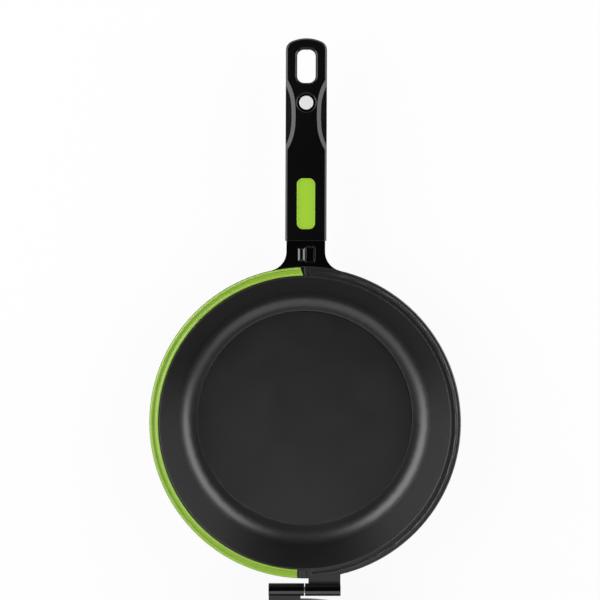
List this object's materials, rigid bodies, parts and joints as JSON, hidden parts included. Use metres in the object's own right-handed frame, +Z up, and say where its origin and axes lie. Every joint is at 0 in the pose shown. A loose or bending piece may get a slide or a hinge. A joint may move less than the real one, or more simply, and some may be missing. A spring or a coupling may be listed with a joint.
{
  "type": "double sided flip pan",
  "caption": "Double sided flip pan: identical cast aluminium halves on a lift-off hinge, shut by a silicone rim seal and handle magnets; shown open flat.",
  "frame": {"origin": "on the table under the middle of the hinge, between the two pans; both bases stand at z = 0", "axes": "+Z up; +Y from the hinge to handle A, in the length of the open pair; +X along the hinge line, over the knuckle of half A"},
  "size_m": [0.2576, 0.9102, 0.0472],
  "materials": {
    "coated_aluminium": "dark grey non-stick coat inside and on the rim, black gloss coat outside",
    "base_steel": "turned",
    "seal_silicone": "satin green silicone",
    "handle_resin": "black moulded phenolic, satin",
    "badge_plastic": "satin green, bare",
    "fastener_steel": "zinc plated",
    "magnet_nickel": "nickel plated",
    "bush_plastic": "matt black",
    "pin_steel": "ground stainless steel"
  },
  "bodies": {
    "pan_a": {"pan_shell_a": "coated_aluminium", "base_disc_a": "base_steel", "rim_seal_a": "seal_silicone", "handle_a": "handle_resin", "handle_badge_a": "badge_plastic", "handle_screw_a": "fastener_steel", "screw_washer_a": "fastener_steel", "magnet_a": "magnet_nickel", "magnet_bush_a": "bush_plastic"},
    "pin": {"hinge_pin": "pin_steel"},
    "pan_b": {"pan_shell_b": "coated_aluminium", "base_disc_b": "base_steel", "rim_seal_b": "seal_silicone", "handle_b": "handle_resin", "handle_badge_b": "badge_plastic", "handle_screw_b": "fastener_steel", "screw_washer_b": "fastener_steel", "magnet_b": "magnet_nickel", "magnet_bush_b": "bush_plastic"}
  },
  "joints": [
    {"name": "lift_apart", "type": "slide", "parent": "pan_a", "child": "pin", "axis": [-1, 0, 0], "range_m": [0, 0.32]},
    {"name": "flip", "type": "hinge", "parent": "pin", "child": "pan_b", "pos_m": [0, 0, 0.042], "axis": [1, 0, 0], "range_deg": [-180, 0]}
  ]
}
